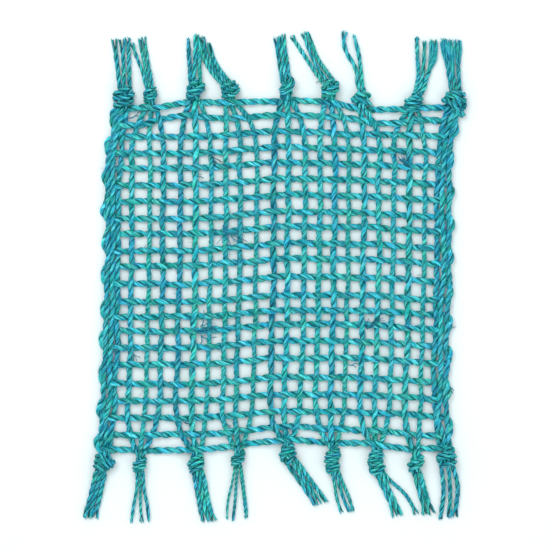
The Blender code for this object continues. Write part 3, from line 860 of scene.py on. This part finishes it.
def tassel_ends(tassels, row, sign):
    """For each warp, the line of its end outward from the given row: its strand of the knot,
    then its tail. With each comes how far along it the tail begins, how far the tail is
    untwisted, and the widths of the strand and of the tail."""
    ends = []
    first_warp = 0
    for number, (knot, tips, style) in enumerate(tassels):
        rng = seeded(f"tassel {sign} {number}")
        count = len(tips)
        tips = [np.atleast_2d(tip) for tip in tips]
        flat_centre = laid_out(knot) * MM
        centre = flat_centre + UP * KNOT_HEIGHT
        mean_tip = np.mean([tip[-1] for tip in tips], axis=0) * MM
        way = unit(laid_out(mean_tip) - flat_centre)
        tassel_way = unit(way + np.array((0.0, sign * KNOT_UPRIGHT, 0.0)))
        across = np.array((tassel_way[1], -tassel_way[0], 0.0))
        starts, leaving, tails = [], [], []
        order = np.argsort([laid_out(tip[-1]) @ across for tip in tips])
        for place in range(count):
            warp = first_warp + place
            rise = -OVER_RISE if weft_is_over(warp, row) else OVER_RISE
            starts.append(laid_out(crossing(warp, row), MID_HEIGHT + rise))
            spot = place if sign > 0 else count - 1 - place
            tip = tips[order[spot]] * MM
            toward = unit(laid_out(tip[0]) - flat_centre)
            aside = (spot - (count - 1) / 2) * style["cord"] * LEAVING_SPACING * MM
            raised = style["cord"] * LEAVING_RISE * MM if count == 3 and spot == 1 else 0.0
            leaving.append(centre + toward * LEAVING * MM + across * aside
                           + UP * (raised - LEAVING_DROP * MM))
            opened = style.get("open", (0, 0, 0))[order[spot]]
            tails.append((tip, opened * MM or rng.uniform(*SHORT_FRAY) * MM,
                          style["tails"][order[spot]] * MM))
        strands = tied(centre, tassel_way, starts, leaving, style, rng)
        neck = centre + tassel_way * (LEAVING + NECK_LENGTH) * MM
        lines, facts = [], []
        for strand, (tip, opened, width) in zip(strands, tails):
            strand = strand[:-SMOOTHED_POINTS]
            bends = tail_bends(tip, strand[-1], neck, style, rng)
            lines.append(curved(np.vstack([strand, bends])))
            facts.append((distances(strand)[-1], opened, style["cord"] * MM, width))
        lines = parted(lines, [fact[0] for fact in facts], [fact[3] for fact in facts])
        ends += [(line, *fact) for line, fact in zip(lines, facts)]
        first_warp += count
    return ends


# ---------------- building it all


def piece(name, plies, material, node, slot):
    """A piece that rides on the net in a CAD node's place."""
    obj = mesh_of(name, plies, material)
    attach(obj, NET)
    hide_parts(node)


def tip_fibres(ply, tip, forward, look, rng):
    """The loose fibres at one ply's cut end."""
    made = []
    for _ in range(TIP_FIBRES):
        start = ply.rings[tip][rng.integers(SIDES)] - forward * TIP_DEPTH * MM
        way = forward + rng.normal(0, 0.13, 3)
        made.append(fibre(start, way, rng.uniform(*TIP_LENGTH) * MM, rng, 0.5 * MM,
                          0.08, look[2], look[3], settle=False))
    return made


def whole_warp(warp, bottom_end, top_end, knots, tails):
    """One warp: its weave is a piece, and its ends go to its tassels' knots and tails."""
    rng = seeded(f"twine of warp {warp}")
    bottom, bottom_knot, bottom_open, bottom_cord, bottom_width = bottom_end
    top, top_knot, top_open, top_cord, top_width = top_end
    weave = warp_weave(warp)
    path = evenly(np.vstack([bottom[::-1], weave[1:-1], top]), STEP)
    along = distances(path)
    lengths = np.cumsum([0, distances(bottom)[-1], distances(weave)[-1], distances(top)[-1]])
    lengths = lengths * along[-1] / lengths[-1]
    tail_ends = (lengths[1] - bottom_knot, lengths[2] + top_knot)

    selvedge = is_selvedge(warp)
    look = SELVEDGE_LOOK if selvedge else WARP_LOOKS[warp - SELVEDGE_WARPS]
    base = (SELVEDGE_WIDTH if selvedge else WARP_WIDTH) * look[0]
    low, high = lengths[1] - SPLIT_EASE, lengths[2] + SPLIT_EASE
    places = (tail_ends[0] - SPLIT_EASE, tail_ends[0] + SPLIT_EASE, low, low + WEAVE_EASE,
              high - WEAVE_EASE, high, tail_ends[1] - SPLIT_EASE, tail_ends[1] + SPLIT_EASE)
    widths = (bottom_width, bottom_cord, bottom_cord, base, base, top_cord, top_cord, top_width)
    width = np.interp(along, places, widths)
    in_weave = (np.clip((along - low) / WEAVE_EASE, 0, 1)
                * np.clip((high - along) / WEAVE_EASE, 0, 1))
    plies = twisted(path, width, rng, look[1] * MM, look[2] + 0.1 * rng.normal(),
                    1 - (1 - FLATTENED) * in_weave, fray=(bottom_open, top_open), light=look[3])

    cuts = np.searchsorted(along, (tail_ends[0], lengths[1], lengths[2], tail_ends[1]))
    node = warp_node(warp)
    piece(node + "_twine", [ply.part(cuts[1] - 1, cuts[2] + 1) for ply in plies],
          SELVEDGE_TWINE if selvedge else WARP_TWINE, node,
          "selvedge_twine" if selvedge else "warp_twine")
    for side, groups, first, last, tail_path, opened, width in (
            ("bottom", BOTTOM_GROUPS, cuts[0], cuts[1], path[cuts[0]::-1], bottom_open,
             bottom_width),
            ("top", TOP_GROUPS, cuts[2], cuts[3], path[cuts[3]:], top_open, top_width)):
        number, place, _ = groups[warp]
        tassel = f"{side}_tassel_{number + 1}"
        knots.setdefault(tassel, []).extend(ply.part(first - 1, last + 1) for ply in plies)
        ends = (0, first) if side == "bottom" else (last, len(path))
        tail_plies = [ply.part(*ends) for ply in plies]
        if opened > LONG_FRAY:
            tail_plies += ribbon(tail_path, opened, width, rng, look)
        forward = unit(tail_path[-1] - tail_path[-4])
        for ply in plies:
            tail_plies += tip_fibres(ply, 0 if side == "bottom" else -1, forward, look, rng)
        tails.append((tassel, place + 1, tail_plies, tail_path, width))


def warps_and_tassels():
    """Every warp, then the knots that tie them, then their tails."""
    top_ends = tassel_ends(TOP_TASSELS, 0, 1)
    bottom_ends = tassel_ends(BOTTOM_TASSELS, ROWS - 1, -1)
    knots, tails = {}, []
    for warp in range(WARPS):
        whole_warp(warp, bottom_ends[warp], top_ends[warp], knots, tails)
    for tassel, plies in knots.items():
        piece(tassel + "_knot", plies, FRINGE_TWINE, tassel, "fringe_twine")

    tails.sort(key=lambda tail: -distances(tail[3])[-1])
    for number, (tassel, place, plies, path, width) in enumerate(tails):
        obj = mesh_of(f"{tassel}_tail_{place}", plies, FRINGE_TWINE)
        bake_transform(obj)
        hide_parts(tassel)


def weft():
    """The weft is one cord, cut into a piece for every two rows."""
    points, marks = weft_line()
    line = curved(points, level=True)
    edges = [0]
    for mark in marks[1:]:
        turn = np.array(points[mark - 2])
        edges.append(int(np.argmin(np.linalg.norm(line - turn, axis=1))))
    edges.append(len(line) - 1)
    plies = twisted(line, WEFT_WIDTH, seeded("weft twine"), WEFT_PITCH,
                    flatten=np.full(len(line), FLATTENED))
    for number, (first, last) in enumerate(zip(edges, edges[1:]), 1):
        node = f"weft_pass_{number:02d}"
        piece(node + "_twine", [ply.part(first, last) for ply in plies], WEFT_TWINE, node,
              "weft_twine")


def stray_fibres():
    """The tufts, and short hairs along every warp."""
    strays = []
    rng = seeded("strays")
    for x, y, heading, length, count, curl, on_top in TUFTS:
        for _ in range(count):
            angle = math.radians(heading + rng.normal(0, TUFT_SPREAD))
            start = np.array((x, y, rng.uniform(*TUFT_LIFT[on_top]))) * MM
            start = start + rng.normal(0, 0.5 * MM, 3)
            way = (math.cos(angle), math.sin(angle), TUFT_RISE[on_top] * rng.normal())
            strays.append(fibre(start, way, length * rng.uniform(*TUFT_LENGTHS) * MM, rng,
                                rng.uniform(*TUFT_WIDTH) * MM, curl, 0.9,
                                rng.uniform(*TUFT_LIGHT), settle=not on_top))
    for warp in range(WARPS):
        weave = warp_weave(warp)
        for spot in rng.integers(3, len(weave) - 3, HAIRS_ON_A_WARP):
            angle = rng.uniform(0, 2 * math.pi)
            way = (math.cos(angle), math.sin(angle), rng.uniform(-0.2, 0.4))
            strays.append(fibre(weave[spot] + UP * 0.8 * MM, way,
                                rng.uniform(*HAIR_LENGTH) * MM, rng,
                                rng.uniform(*HAIR_WIDTH) * MM, *HAIR_LOOK))
    obj = mesh_of("stray_fibres", strays, LOOSE_TWINE)
    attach(obj, NET)


# ---------------- the studio

ROOM_COLOUR = (0.93, 0.98, 1.0, 1.0)
ROOM_STRENGTH = 0.76
LAMPS = (("overhead", (-0.3, 0.4, 1.0), 0.7, 5.6), ("fill", (0.5, -0.4, 0.9), 0.9, 2.4))
SHEET_COLOUR = (0.87, 0.93, 0.935, 1.0)
SHEET_REACH = 3.0
VIEW_WIDTH = 385 * MM  # of the net's plane, across the picture
CAMERA_PLACE = (1.75 * MM, 1.75 * MM, 1.3)


def room_and_lamps(scene):
    """Soft light from all round, and two large lamps that face the net."""
    world = bpy.data.worlds.new("soft room")
    scene.world = world
    world.use_nodes = True
    background = world.node_tree.nodes["Background"]
    background.inputs["Color"].default_value = ROOM_COLOUR
    background.inputs["Strength"].default_value = ROOM_STRENGTH
    for name, place, size, power in LAMPS:
        lamp = bpy.data.lights.new(name, "AREA")
        lamp.size = size
        lamp.energy = power
        obj = bpy.data.objects.new(name, lamp)
        scene.collection.objects.link(obj)
        obj.location = place
        aim = -np.array(place)
        obj.rotation_euler = (math.atan2(math.hypot(aim[0], aim[1]), -aim[2]), 0,
                              math.atan2(aim[1], aim[0]) - math.pi / 2)


def white_sheet(scene):
    """The plain sheet that the net lies on."""
    half = SHEET_REACH
    mesh = bpy.data.meshes.new("floor")
    mesh.from_pydata([(-half, -half, 0), (half, -half, 0), (half, half, 0), (-half, half, 0)],
                     [], [(0, 1, 2, 3)])
    floor = bpy.data.objects.new("floor", mesh)
    scene.collection.objects.link(floor)
    paper = bpy.data.materials.new("white sheet")
    paper.use_nodes = True
    shader = paper.node_tree.nodes["Principled BSDF"]
    shader.inputs["Base Color"].default_value = SHEET_COLOUR
    shader.inputs["Roughness"].default_value = 0.9
    floor.data.materials.append(paper)


def overhead_camera(scene):
    """The photograph's view, straight down."""
    lens = bpy.data.cameras.new("overhead camera")
    lens.lens = lens.sensor_width * CAMERA_PLACE[2] / VIEW_WIDTH
    camera = bpy.data.objects.new("overhead camera", lens)
    camera.location = CAMERA_PLACE
    scene.collection.objects.link(camera)
    scene.camera = camera


warps_and_tassels()
weft()
stray_fibres()

SCENE = bpy.context.scene
SCENE.view_settings.view_transform = "Standard"
room_and_lamps(SCENE)
white_sheet(SCENE)
overhead_camera(SCENE)
